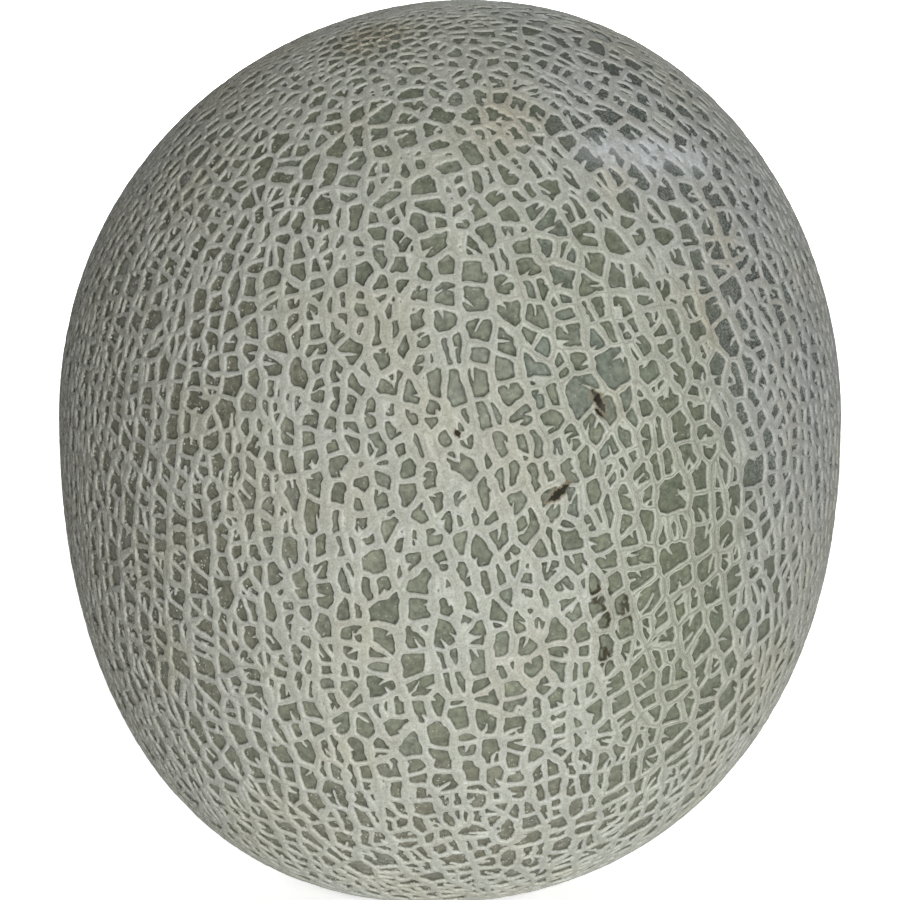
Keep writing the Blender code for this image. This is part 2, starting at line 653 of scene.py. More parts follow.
def corner_at(face, place):
    """The cell's corner at a place on its outline, made there if none is close."""
    number, share, _ = place
    loop = face.loops[number]
    length = loop.edge.calc_length()
    if share * length < SNAP:
        return loop.vert
    if (1 - share) * length < SNAP:
        return loop.link_loop_next.vert
    return bmesh.utils.edge_split(loop.edge, loop.vert, share)[1]


def crack(net, face, line, flat, out, width, rng):
    """Splits a cell along a slightly bowed crack on a line. Gives the new cell, or None."""
    ahead, behind = where_line_leaves(flat, *line)
    if ahead is None or behind is None or ahead[0] == behind[0]:
        return None
    first, last = sorted((ahead, behind), key=lambda place: place[0])
    far = corner_at(face, last)
    near = corner_at(face, first)
    if far is near or any(far is edge.other_vert(near) for edge in near.link_edges):
        return None
    span = far.co - near.co
    sideways = out.cross(span).normalized()
    count = int(span.length / POINT_GAP)
    lift = rng.gauss(0, CRACK_BOW) * span.length
    path = []
    for i in range(count):
        t = (i + 1) / (count + 1)
        push = 4 * t * (1 - t) * lift + rng.uniform(-CRACK_WANDER, CRACK_WANDER)
        path.append(near.co + span * t + sideways * push)
    if path:
        path = [Vector(p) for p in onto_rind(path)[0]]
    new_face, _ = bmesh.utils.face_split(face, near, far, coords=path)
    if new_face is None:
        return None
    strand_width = net.edges.layers.float["width"]
    for edge in new_face.edges:
        if any(other is face for other in edge.link_faces):
            edge[strand_width] = width
    return new_face


def cell_area_at(point):
    """About what area a cell has before it stops dividing, here on the rind."""
    broad = noise.noise(Vector(point) * BROAD_WAVES)
    return CELL_AREA * (1 + BROAD_SPREAD * broad) * looseness_at(np.array([point]))[0] ** 2


def late_strand_width(area, runs_along, rng):
    """A late strand's half-width: wider in a large cell, and along the net's run."""
    early = math.log(max(area, NARROWEST_IN) / NARROWEST_IN) / math.log(WIDEST_IN / NARROWEST_IN)
    width = NARROWEST_LATE_STRAND + (WIDEST_LATE_STRAND - NARROWEST_LATE_STRAND) * min(early, 1) ** 0.8
    width *= ALONG_WIDENING if runs_along else ACROSS_WIDENING
    return width * rng.uniform(*LATE_SPREAD)


def divide(net, cells, rng):
    """Cracks the cells again and again, until each is about as small as its place wants."""
    waiting = list(cells)
    while waiting:
        face = waiting.pop()
        flat, middle, out = lay_flat(face)
        area, centroid = area_and_centroid(flat)
        if area < max(cell_area_at(middle) * rng.lognormvariate(0, AREA_SPREAD), SMALLEST_SPLIT):
            continue
        spread_x = sum((x - centroid[0]) ** 2 for x, _ in flat) / len(flat)
        spread_y = sum((y - centroid[1]) ** 2 for _, y in flat) / len(flat)
        tallness = math.sqrt(max(spread_y, 1e-6) / max(spread_x, 1e-6))
        runs_along = tallness < TALL_CELL * rng.lognormvariate(0, TALLNESS_SPREAD)
        wander = (ALONG_WANDER if runs_along else ACROSS_WANDER) * (1 - 0.6 * min(area / LARGE_CELL, 1))
        turn = (math.pi / 2 if runs_along else 0) + rng.gauss(0, wander)
        reach = math.sqrt(area)
        start = [middling + rng.uniform(-OFF_CENTRE, OFF_CENTRE) * reach for middling in centroid]
        line = (start, (math.cos(turn), math.sin(turn)))
        width = late_strand_width(area, runs_along, rng)
        new_face = crack(net, face, line, flat, out, width, rng)
        if new_face is not None:
            waiting += [face, new_face]


def grow_net():
    """The whole net as a mesh of cells, with the strand widths on its edges."""
    rng = random.Random(SEED)
    net = first_cells(rng)
    divide(net, net.faces[:], rng)
    return net


# ---------------------------------------------------------------- from cracks to cork

def even_out_sides(net):
    """Cuts the long sides of cells into short ones."""
    for edge in [e for e in net.edges if e.calc_length() > LONGEST_SIDE]:
        pieces = math.ceil(edge.calc_length() / POINT_GAP)
        start = edge.verts[0]
        rest = edge
        for i in range(pieces - 1):
            cut, made = bmesh.utils.edge_split(rest, start, 1 / (pieces - i))
            start = made
            rest = [e for e in made.link_edges if e is not cut][0]
            if rest.other_vert(made) is edge.verts[0]:
                rest = cut


def settle_strands(net):
    """Pulls the joins of strands into soft forks, and evens out the spacing of the points.

    Vector noise starts from the time of day until it is seeded.
    """
    bmesh.ops.remove_doubles(net, verts=net.verts[:], dist=CLOSEST_FORKS)
    loose = [v for v in net.verts if not v.link_faces]
    bmesh.ops.delete(net, geom=loose, context="VERTS")
    even_out_sides(net)
    net.verts.index_update()
    net.edges.index_update()
    points = np.array([v.co for v in net.verts])
    pairs = np.array([[e.verts[0].index, e.verts[1].index] for e in net.edges])
    strand_width = net.edges.layers.float["width"]
    stiff = np.array([edge[strand_width] for edge in net.edges]) ** 3
    total_stiff = np.zeros(len(points))
    np.add.at(total_stiff, pairs[:, 0], stiff)
    np.add.at(total_stiff, pairs[:, 1], stiff)
    for _ in range(SETTLING_ROUNDS):
        total = np.zeros_like(points)
        np.add.at(total, pairs[:, 0], points[pairs[:, 1]] * stiff[:, None])
        np.add.at(total, pairs[:, 1], points[pairs[:, 0]] * stiff[:, None])
        points += SETTLING * (total / total_stiff[:, None] - points)
        points = onto_rind(points, 1)[0]
    noise.seed_set(SEED)
    crooked = [noise.noise_vector(Vector(p) * CROOKED_WAVES) for p in points]
    points = onto_rind(points + CROOKEDNESS * np.array(crooked), 1)[0]
    return points, pairs


class Cells:
    """Every cell laid flat: its outline round its own middle, and where skin is left open in it."""

    def __init__(self, net, points, widths):
        net.faces.index_update()
        self.loops = [[loop.vert.index for loop in face.loops] for face in net.faces]
        self.sides = np.array([len(loop) for loop in self.loops])
        longest = self.sides.max()
        index = np.array([loop + loop[:1] * (longest - len(loop)) for loop in self.loops])
        steps = np.arange(longest)[None, :]
        real = steps < self.sides[:, None]
        corner = points[index]
        middle = (corner * real[:, :, None]).sum(1) / self.sides[:, None]
        self.middle, out = onto_rind(middle)
        self.along, self.across = run_of_net(out)
        offset = corner - self.middle[:, None]
        self.flat = np.stack([
            np.einsum("kij,kj->ki", offset, self.across),
            np.einsum("kij,kj->ki", offset, self.along),
        ], 2)
        following = np.where(steps + 1 < self.sides[:, None], steps + 1, 0)
        self.start = self.flat
        self.end = np.take_along_axis(self.flat, following[:, :, None], 1)
        self.end[~real] = self.start[~real]
        self.start_width = widths[index]
        self.end_width = np.take_along_axis(self.start_width, following, 1)
        self.end_width[~real] = self.start_width[~real]
        cross = self.start[:, :, 0] * self.end[:, :, 1] - self.end[:, :, 0] * self.start[:, :, 1]
        cross = np.where(real, cross, 0)
        double = cross.sum(1)
        self.area = np.abs(double) / 2
        self.centroid = ((self.start + self.end) * cross[:, :, None]).sum(1) / (3 * double)[:, None]

    def add_strands(self, start, end, start_width, end_width):
        """Short strands inside the cells: arrays of one a cell."""
        self.start = np.concatenate([self.start, start[:, None]], 1)
        self.end = np.concatenate([self.end, end[:, None]], 1)
        self.start_width = np.concatenate([self.start_width, start_width[:, None]], 1)
        self.end_width = np.concatenate([self.end_width, end_width[:, None]], 1)

    def room(self, spots, rows=slice(None)):
        """How far spots (cells, spots, 2) are from the cork's edge, below 0 on it, and their outline."""
        start = self.start[rows][:, None].astype(np.float32)
        span = self.end[rows][:, None].astype(np.float32) - start
        first = self.start_width[rows][:, None].astype(np.float32)
        last = self.end_width[rows][:, None].astype(np.float32)
        offset = spots[:, :, None] - start
        length2 = np.maximum((span ** 2).sum(3), 1e-9)
        share = np.clip((offset * span).sum(3) / length2, 0, 1)
        away = offset - span * share[..., None]
        distance = np.sqrt((away ** 2).sum(3))
        gap = distance - (first + (last - first) * share)
        nearest = gap.min(2)
        crowd = np.exp((nearest[..., None] - gap) / FILLET).sum(2)
        to_outline = distance[:, :, :self.flat.shape[1]].min(2)
        return nearest - FILLET * np.log(crowd), to_outline

    def laid_back(self, k, spots):
        """Spots on cell k's flat, as places in the scene."""
        return self.middle[k] + spots[:, :1] * self.across[k] + spots[:, 1:] * self.along[k]


def in_batches(count, size=350):
    return [slice(i, min(i + size, count)) for i in range(0, count, size)]


def inside(corners, spots):
    """Whether each spot is inside its cell's outline."""
    start = corners[:, None]
    end = np.roll(corners, -1, 1)[:, None]
    x, y = spots[:, :, None, 0], spots[:, :, None, 1]
    spans = (start[..., 1] > y) != (end[..., 1] > y)
    rise = np.where(end[..., 1] == start[..., 1], 1e-9, end[..., 1] - start[..., 1])
    cut = start[..., 0] + (y - start[..., 1]) * (end[..., 0] - start[..., 0]) / rise
    return (spans & (x < cut)).sum(2) % 2 == 1


def widths_at_points(net, points, pairs):
    """The strand's half-width at each point: the mean of the strands that meet there."""
    strand_width = net.edges.layers.float["width"]
    width = np.array([edge[strand_width] for edge in net.edges])
    count = len(points)
    total = np.zeros(count)
    np.add.at(total, pairs[:, 0], width)
    np.add.at(total, pairs[:, 1], width)
    total /= np.bincount(pairs.ravel(), minlength=count)
    total *= 1 - THINNING * patches(points, THIN_NET) + THICKENING * patch(points, *OPEN_SHOULDER)
    uneven = np.random.default_rng(SEED).normal(0, STRAND_UNEVENNESS, count)
    return np.maximum(total * np.exp(uneven), LIP_WIDTH + 0.08)


def one_way(turn):
    """The step of length 1 at this angle on the flat."""
    return np.array((math.cos(turn), math.sin(turn)))


def grow_spurs(cells, rng):
    """Short strands that taper off inside the cells, more of them in wide cells."""
    count = len(cells.loops)
    wanted = looseness_at(cells.middle) ** 2
    for chance in SPUR_CHANCES:
        root = cells.flat[:, 0].copy()
        bend = root.copy()
        tip = root.copy()
        thickness = np.full((count, 3), -5.0)
        for k in range(count):
            roomy = min(cells.area[k] / SPUR_ROOM, SPUR_CROWD) * wanted[k]
            if rng.random() > chance * roomy:
                continue
            corner = rng.randrange(cells.sides[k])
            after = (corner + 1) % cells.sides[k]
            share = rng.uniform(0.15, 0.85)
            root[k] = cells.flat[k, corner] * (1 - share) + cells.flat[k, after] * share
            inwards = cells.centroid[k] - root[k]
            turn = math.atan2(inwards[1], inwards[0]) + rng.gauss(0, 0.35)
            length = math.hypot(*inwards) * rng.uniform(*SPUR_LENGTHS)
            bend[k] = root[k] + SPUR_BEND * length * one_way(turn)
            turn += rng.gauss(0, 0.3)
            tip[k] = bend[k] + (1 - SPUR_BEND) * length * one_way(turn)
            size = rng.uniform(*SPUR_SIZES)
            thickness[k] = (SPUR_ROOT * size, (SPUR_ROOT + SPUR_TIP) / 2 * size, SPUR_TIP)
        cells.add_strands(root, bend, thickness[:, 0], thickness[:, 1])
        cells.add_strands(bend, tip, thickness[:, 1], thickness[:, 2])


def ripples(places, shortest, longest):
    """An even unevenness over the rind, mostly between -2 and 2, with waves this long in mm."""
    rng = np.random.default_rng(SEED)
    total = np.zeros(places.shape[:-1], np.float32)
    for _ in range(WAVES):
        way = rng.normal(size=3)
        way *= rng.uniform(2 * math.pi / longest, 2 * math.pi / shortest) / np.linalg.norm(way)
        total += np.sin(places @ way.astype(np.float32) + rng.uniform(0, 6.28))
    return total / math.sqrt(WAVES / 2)


def map_cells(cells, rows):
    """A grid of spots over each cell, and how far each spot is from the cork's edge."""
    corners = cells.flat[rows]
    low, high = corners.min(1), corners.max(1)
    step = (high - low) / (SPOTS_ACROSS - 1, SPOTS_ALONG - 1)
    x = low[:, :1] + step[:, :1] * np.arange(SPOTS_ACROSS)
    y = low[:, 1:] + step[:, 1:] * np.arange(SPOTS_ALONG)
    shape = (len(corners), SPOTS_ALONG, SPOTS_ACROSS)
    spots = np.stack([np.broadcast_to(x[:, None], shape), np.broadcast_to(y[:, :, None], shape)], 3)
    spots = spots.reshape(len(corners), -1, 2).astype(np.float32)
    room, to_outline = cells.room(spots, rows)
    places = cells.middle[rows][:, None] + (
        spots[..., :1] * cells.across[rows][:, None] + spots[..., 1:] * cells.along[rows][:, None]
    )
    waves_at = places.astype(np.float32)
    places = places.reshape(-1, 3)
    room += FRAY * ripples(waves_at, *FRAY_WAVES)
    ragged = patches(places, RAGGED).reshape(room.shape)
    room += RAGGED_FRAY * ragged * ripples(waves_at, *RAGGED_WAVES)
    room -= SMEAR_REACH * patches(places, SMEARED).reshape(room.shape)
    room = np.minimum(room, to_outline - LIP_WIDTH - 0.15)
    room = np.where(inside(corners, spots), room, np.minimum(room, -LIP_WIDTH - 0.1))
    return room.reshape(shape), low, step


# For each way that the corners of a map square can lie inside: sides that an outline enters
# and leaves by, with the inside on its left. Sides are 0 below, 1 right, 2 above, 3 left.
PASSES = {
    1: ((0, 3),), 2: ((1, 0),), 3: ((1, 3),), 4: ((2, 1),), 5: ((0, 3), (2, 1)),
    6: ((2, 0),), 7: ((2, 3),), 8: ((3, 2),), 9: ((0, 2),), 10: ((1, 0), (3, 2)),
    11: ((1, 2),), 12: ((3, 1),), 13: ((0, 1),), 14: ((3, 0),),
}


def outlines(room, level):
    """Every closed line at this level on the maps: (map number, its spots in map steps)."""
    count, rows, columns = room.shape
    high = room > level
    code = high[:, :-1, :-1] + 2 * high[:, :-1, 1:] + 4 * high[:, 1:, 1:] + 8 * high[:, 1:, :-1]
    plane = rows * columns
    entered = []
    left = []
    for case, passes in PASSES.items():
        k, i, j = np.nonzero(code == case)
        here = 2 * k * plane + i * columns + j
        side = (here, here + plane + 1, here + columns, here + plane)
        for way_in, way_out in passes:
            entered.append(side[way_in])
            left.append(side[way_out])
    entered = np.concatenate(entered)
    order = np.argsort(entered)
    entered = entered[order]
    following = np.searchsorted(entered, np.concatenate(left)[order])
    k, rest = np.divmod(entered, 2 * plane)
    upright, rest = np.divmod(rest, plane)
    i, j = np.divmod(rest, columns)
    here = room[k, i, j]
    there = room[k, np.minimum(i + upright, rows - 1), np.minimum(j + 1 - upright, columns - 1)]
    share = (level - here) / (there - here)
    spots = np.stack([j + share * (1 - upright), i + share * upright], 1)
    following = following.tolist()
    seen = [False] * len(following)
    found = []
    for first in range(len(following)):
        if seen[first]:
            continue
        line = []
        at = first
        while not seen[at]:
            seen[at] = True
            line.append(at)
            at = following[at]
        found.append((int(k[first]), spots[line]))
    return found


def thinned(line, step):
    """A closed line with fewer points: one about every step, and more where it turns."""
    ahead = np.roll(line, -1, 0) - line
    behind = np.roll(ahead, 1, 0)
    length = np.hypot(ahead[:, 0], ahead[:, 1])
    turned = behind[:, 0] * ahead[:, 1] - behind[:, 1] * ahead[:, 0]
    bend = np.abs(np.arctan2(turned, (ahead * behind).sum(1)))
    bend = (bend + np.roll(bend, 1) + np.roll(bend, -1)) / 3
    weight = np.cumsum(length + CORNER_WEIGHT * bend)
    count = int(max(weight[-1] / step, 5))
    marks = (np.arange(count) + 0.5) * weight[-1] / count
    return line[np.unique(np.searchsorted(weight, marks))]


def area_of(line):
    following = np.roll(line, -1, 0)
    return (line[:, 0] * following[:, 1] - following[:, 0] * line[:, 1]).sum() / 2


class Relief:
    """The points and triangles of the whole rind, before it is cut into pieces."""

    def __init__(self, points, widths):
        self.places = [points]
        self.heights = [NET_HEIGHT + STRAND_DOME * np.clip(WIDE_STRAND - widths, 0.3, 1)]
        self.edge = [widths]
        self.middle = [np.ones(len(points))]
        self.tone = [np.full(len(points), 0.5)]
        self.count = len(points)
        self.triangles = []
        self.owners = []

    def add_cell(self, cells, k, rings, floor, tone):
        """A cell, from its outline, the rings in it and the spots on its skin.

        Each ring is (spots, height, distance from the cork's edge), and floor is one more.
        """
        loop = cells.loops[k]
        sides = len(loop)
        spots = cells.flat[k, :sides].tolist()
        lines = []
        heights = [0.0] * sides
        edge = [0.0] * sides
        for ring, height, away in rings:
            first = len(spots)
            count = len(ring)
            lines += [(first + i, first + (i + 1) % count) for i in range(count)]
            spots += ring.tolist()
            heights += [height] * count
            edge += [away] * count
        floor_spots, floor_heights, floor_edge = floor
        spots += floor_spots
        heights += floor_heights
        edge += floor_edge
        made = geometry.delaunay_2d_cdt([Vector(s) for s in spots], lines, [list(range(sides))], 1, 1e-5)
        spots_made, _, triangles, came_from = made[:4]
        drawn = {(t[i], t[i - 2]) for t in triangles for i in range(3)}
        if any((i, (i + 1) % sides) not in drawn for i in range(sides)):
            self.add_plain_cell(k, loop, spots[:sides])
            return
        numbers = []
        added = []
        for spot, source in zip(spots_made, came_from):
            if source and source[0] < sides:
                numbers.append(loop[source[0]])
                continue
            if not source:
                away = [(x - spot[0]) ** 2 + (y - spot[1]) ** 2 for x, y in spots[sides:]]
                source = [sides + away.index(min(away))] if away else [0]
            numbers.append(self.count + len(added))
            added.append((spot[0], spot[1], heights[source[0]], edge[source[0]]))
        if added:
            added = np.array(added)
            self.places.append(cells.laid_back(k, added[:, :2]))
            self.heights.append(added[:, 2])
            self.edge.append(added[:, 3])
            self.middle.append(np.zeros(len(added)))
            self.tone.append(np.full(len(added), tone))
            self.count += len(added)
        self.triangles += [tuple(numbers[i] for i in t) for t in triangles]
        self.owners += [k] * len(triangles)

    def add_plain_cell(self, k, loop, corners):
        """A cell without an opening, from its corners only."""
        ears = geometry.tessellate_polygon([[Vector((*corner, 0)) for corner in corners]])
        for ear in ears:
            if area_of(np.array([corners[i] for i in ear])) <= 0:
                ear = ear[::-1]
            self.triangles.append(tuple(loop[i] for i in ear))
            self.owners.append(k)


def detail_at(points):
    """How coarse the outlines are drawn there: finer in the ragged patches, coarser at the back."""
    back = np.clip(points[:, 1] / BELLY_RADIUS, 0, 0.7)
    return (1 - RAGGED_DETAIL * patches(points, RAGGED)) * (1 + BACK_COARSENESS * back)


def add_spot(floor, spot, height, edge):
    """Adds a point to the skin of a cell."""
    for listed, value in zip(floor, (spot, height, edge)):
        listed.append(value)


def draw_openings(room, low, step, skin, detail):
    """The rings round each cell's openings, and the points on the skin in them."""
    rings = [[] for _ in skin]
    floors = [([], [], []) for _ in skin]
    for name, level, spacing in RINGS:
        for k, line in outlines(room, level):
            line = low[k] + line * step[k]
            area = area_of(line)
            if area < SMALLEST_OPENING:
                continue
            height = {"lip": NET_HEIGHT, "edge": NET_HEIGHT - EDGE_ROUNDING, "foot": skin[k]}[name]
            rings[k].append((thinned(line, spacing * detail[k]), height, -level))
            if name == "edge" and area < SMALL_OPENING:
                add_spot(floors[k], line.mean(0).tolist(), skin[k], -WALL_RUN)
    inner = room[:, 1::FLOOR_EVERY, 1::FLOOR_EVERY]
    for k, i, j in zip(*np.nonzero(inner > FLOOR_ROOM)):
        spot = low[k] + (1 + FLOOR_EVERY * j, 1 + FLOOR_EVERY * i) * step[k]
        depth = inner[k, i, j]
        height = skin[k] + SKIN_SWELL * min(depth - WALL_RUN, 1)
        add_spot(floors[k], spot.tolist(), height, -float(depth))
    return rings, floors


def raise_relief(cells, points, widths):
    """The relief of the whole rind, cell by cell."""
    rng = random.Random(SEED + 1)
    relief = Relief(points, widths)
    for rows in in_batches(len(cells.loops)):
        room, low, step = map_cells(cells, rows)
        middles = cells.middle[rows]
        deep = np.minimum(1, LEAST_DEPTH + room.max((1, 2)) * DEPTH_GAIN)
        deep = deep * (1 - LOW_RELIEF * patch(middles, *LOW_CROWN))
        skin = NET_HEIGHT + (SKIN_DEPTH - NET_HEIGHT) * deep
        rings, floors = draw_openings(room, low, step, skin, detail_at(middles))
        for k in range(len(room)):
            number = rows.start + k
            if not rings[k]:
                floors[k] = ([cells.centroid[number].tolist()], [NET_HEIGHT - CLOSED_DIP], [0.6])
            relief.add_cell(cells, number, rings[k], floors[k], rng.random())
    return relief


def finish_points(relief):
    """The relief's points in place: on the rind, raised by their heights, flat underneath."""
    points, out = onto_rind(np.concatenate(relief.places), 2)
    heights = np.concatenate(relief.heights)
    corky = np.concatenate(relief.edge) > ON_CORK
    rough = np.array([noise.noise(Vector(p) * CORK_WAVES) for p in points])
    heights += CORK_UNEVENNESS * rough * corky
    heights -= GROOVE * np.concatenate(relief.middle) * patch(points, *GREEN_BAND)
    heights -= SPLIT_DEPTH * np.exp(-off_lines(points, SPLITS) ** 2) * corky
    heights += SWELLING * patch(points, *SWOLLEN)
    resting = points[:, 2] < RESTING_HEIGHT
    points[resting, 2] = RESTING_HEIGHT
    out[resting] = (0, 0, -1)
    points += out * heights[:, None]
    points[:, 2] = np.maximum(points[:, 2], 0)
    return points


def smooth_normals(points, triangles):
    a, b, c = (points[triangles[:, i]] for i in range(3))
    face = np.cross(b - a, c - a)
    normals = np.zeros_like(points)
    for i in range(3):
        for axis in range(3):
            normals[:, axis] += np.bincount(triangles[:, i], face[:, axis], len(points))
    return normals / np.maximum(np.linalg.norm(normals, axis=1), 1e-12)[:, None]


def values_at(places, relief):
    """What the material reads at each point, by name."""
    return {
        "edge": np.concatenate(relief.edge),
        "middle": np.concatenate(relief.middle),
        "tone": np.concatenate(relief.tone),
        "green": patch(places, *GREEN_BAND) + 0.5 * patch(places, *UPPER_BAND),
        "frost": patches(places, FROSTED),
        "speckled": patches(places, SPECKLED),
        "fibrous": strongest(places, FIBROUS),
        "cool": patch(places, *UPPER_BAND),
        "smear": patches(places, SMEARED),
        # painted shade on the sides and crown, where the light falls off
        "painted_shade": strongest(places, PAINTED_SHADE_PATCHES),
        "ragged": patches(places, RAGGED),
        "blush": patches(places, BLUSHED),
        "scar": scar_at(places),
    }


def flat_map(smooth, triangles, in_crown, turn):
    """Where each corner of a sector's triangles lies on its flat map, from 0 to 1.

    The sector is parted at the belly. Its crown half lies to the right and its base half, turned
    half way round, to the left. Each half keeps its width in mm, and its pole is at the top.
    """
    across = smooth[:, 0] * math.cos(turn) + smooth[:, 1] * math.sin(turn)
    level = np.arctan2(smooth[:, 2] - BELLY_HEIGHT, np.hypot(smooth[:, 0], smooth[:, 1]))
    way = np.where(in_crown, 1, -1)[:, None]
    right = 0.5 + 0.25 * way * (1 + across[triangles] / FLAT_REACH)
    up = (level[triangles] * way + FLAT_OVERLAP) / (math.pi / 2 + FLAT_OVERLAP)
    return np.stack([right, up], 2)


def make_piece(name, points, normals, values, triangles, corners_on_map, material):
    """One mesh of the rind, from the whole rind's points and its own triangles."""
    used, renumbered = np.unique(triangles, return_inverse=True)
    triangles = renumbered.reshape(triangles.shape)
    mesh = bpy.data.meshes.new(name)
    mesh.vertices.add(len(used))
    mesh.vertices.foreach_set("co", (points[used] * MM).astype(np.float32).ravel())
    mesh.loops.add(triangles.size)
    mesh.loops.foreach_set("vertex_index", triangles.astype(np.int32).ravel())
    mesh.polygons.add(len(triangles))
    mesh.polygons.foreach_set("loop_start", np.arange(0, triangles.size, 3, dtype=np.int32))
    mesh.update(calc_edges=True)
    mesh.polygons.foreach_set("use_smooth", np.ones(len(triangles), bool))
    mesh.uv_layers.new(name="OFBake").data.foreach_set("uv", corners_on_map.astype(np.float32).ravel())
    for label, value in values.items():
        layer = mesh.attributes.new(label, "FLOAT", "POINT")
        layer.data.foreach_set("value", value[used].astype(np.float32))
    mesh.validate()
    mesh.normals_split_custom_set_from_vertices(normals[used].astype(np.float32))
    mesh.materials.append(material)
    piece = bpy.data.objects.new(name, mesh)
    bpy.context.scene.collection.objects.link(piece)
    return piece


# ---------------------------------------------------------------- the look of the rind

class Nodes:
    """Short ways to write a material's nodes."""

    def __init__(self, material):
        self.tree = material.node_tree
        self.place = self.add("ShaderNodeTexCoord").outputs["Object"]

    def add(self, kind, **settings):
        node = self.tree.nodes.new(kind)
        for name, value in settings.items():
            setattr(node, name, value)
        return node

    def feed(self, socket, value):
        if isinstance(value, bpy.types.NodeSocket):
            self.tree.links.new(value, socket)
        else:
            socket.default_value = value

    def value(self, name):
        return self.add("ShaderNodeAttribute", attribute_name=name).outputs["Fac"]

    def math(self, operation, *values):
        node = self.add("ShaderNodeMath", operation=operation)
        for socket, value in zip(node.inputs, values):
            self.feed(socket, value)
        return node.outputs[0]

    def times(self, first, second):
        return self.math("MULTIPLY", first, second)

    def plus(self, first, second):
        return self.math("ADD", first, second)

    def ranged(self, value, low, high, to_low=0.0, to_high=1.0, smooth=True):
        kind = "SMOOTHSTEP" if smooth else "LINEAR"
        node = self.add("ShaderNodeMapRange", interpolation_type=kind)
        for socket, given in zip(node.inputs, (value, low, high, to_low, to_high)):
            self.feed(socket, given)
        return node.outputs["Result"]

    def near(self, value, target, close, far, most=1.0, least=0.0):
        """The most where the value is this close to the target, and the least where it is far."""
        gap = self.math("ABSOLUTE", self.math("SUBTRACT", value, target))
        return self.ranged(gap, close, far, most, least)

    def noise(self, size, detail=2.0, roughness=0.5, shift=0.0, stretch=(1, 1, 1)):
        """Soft noise with features about this many mm across, from 0 to 1, mostly near 0.5."""
        node = self.add("ShaderNodeTexNoise", noise_dimensions="4D")
        self.feed(node.inputs["Vector"], self.vector("MULTIPLY", self.place, stretch))
        self.feed(node.inputs["W"], shift)
        self.feed(node.inputs["Scale"], 1 / (size * MM))
        self.feed(node.inputs["Detail"], detail)
        self.feed(node.inputs["Roughness"], roughness)
        return node.outputs["Fac"]

    def off_spots(self, spacing):
        """How far each place is from the nearest of many scattered spots, in spacings."""
        node = self.add("ShaderNodeTexVoronoi", voronoi_dimensions="3D")
        self.feed(node.inputs["Vector"], self.place)
        self.feed(node.inputs["Scale"], 1 / (spacing * MM))
        return node.outputs["Distance"]

    def ramp(self, value, stops):
        node = self.add("ShaderNodeValToRGB")
        self.feed(node.inputs["Fac"], value)
        elements = node.color_ramp.elements
        while len(elements) < len(stops):
            elements.new(0.5)
        for element, (place, colour) in zip(elements, stops):
            element.position = place
            element.color = (*colour, 1)
        return node.outputs["Color"]

    def mix(self, share, first, second, blend="MIX"):
        node = self.add("ShaderNodeMix", data_type="RGBA", blend_type=blend)
        self.feed(node.inputs["Factor"], share)
        for socket, value in zip((node.inputs[6], node.inputs[7]), (first, second)):
            self.feed(socket, (*value, 1) if isinstance(value, tuple) else value)
        return node.outputs[2]

    def tinted(self, share, colour, tint):
        return self.mix(share, colour, tint, "MULTIPLY")

    def vector(self, operation, first, second=(0, 0, 0)):
        node = self.add("ShaderNodeVectorMath", operation=operation)
        self.feed(node.inputs[0], first)
        self.feed(node.inputs[1], second)
        return node.outputs["Value" if operation in ("DOT_PRODUCT", "LENGTH") else "Vector"]

    def scaled(self, colour, value):
        """A colour made lighter or darker by a value."""
        node = self.add("ShaderNodeVectorMath", operation="SCALE")
        self.feed(node.inputs[0], colour)
        self.feed(node.inputs["Scale"], value)
        return node.outputs[0]


def off_lines_nodes(nodes, lines):
    """About the same as off_lines, by a material's nodes, with ragged edges and pointed ends."""
    nearest = None
    for *line, half_width in lines:
        start, end = (Vector(place) * MM for place in ends_of(*line))
        span = end - start
        out = Vector(onto_rind([(start + end) / 2 / MM])[1][0])
        offset = nodes.vector("SUBTRACT", nodes.place, start)
        depth = nodes.scaled(tuple(out * 0.8), nodes.vector("DOT_PRODUCT", offset, out))
        offset = nodes.vector("SUBTRACT", offset, depth)
        share = nodes.math("DIVIDE", nodes.vector("DOT_PRODUCT", offset, span), span.length_squared)
        share = nodes.math("MINIMUM", nodes.math("MAXIMUM", share, 0.0), 1.0)
        away = nodes.vector("SUBTRACT", offset, nodes.scaled(tuple(span), share))
        away = nodes.math("DIVIDE", nodes.vector("LENGTH", away), half_width * MM)
        away = nodes.plus(away, nodes.near(share, 0.5, 0.15, 0.5, 0.0, 0.9))
        nearest = away if nearest is None else nodes.math("MINIMUM", nearest, away)
    return nodes.plus(nearest, nodes.ranged(nodes.noise(0.8, 1.0), 0.2, 0.8, -0.5, 0.5))


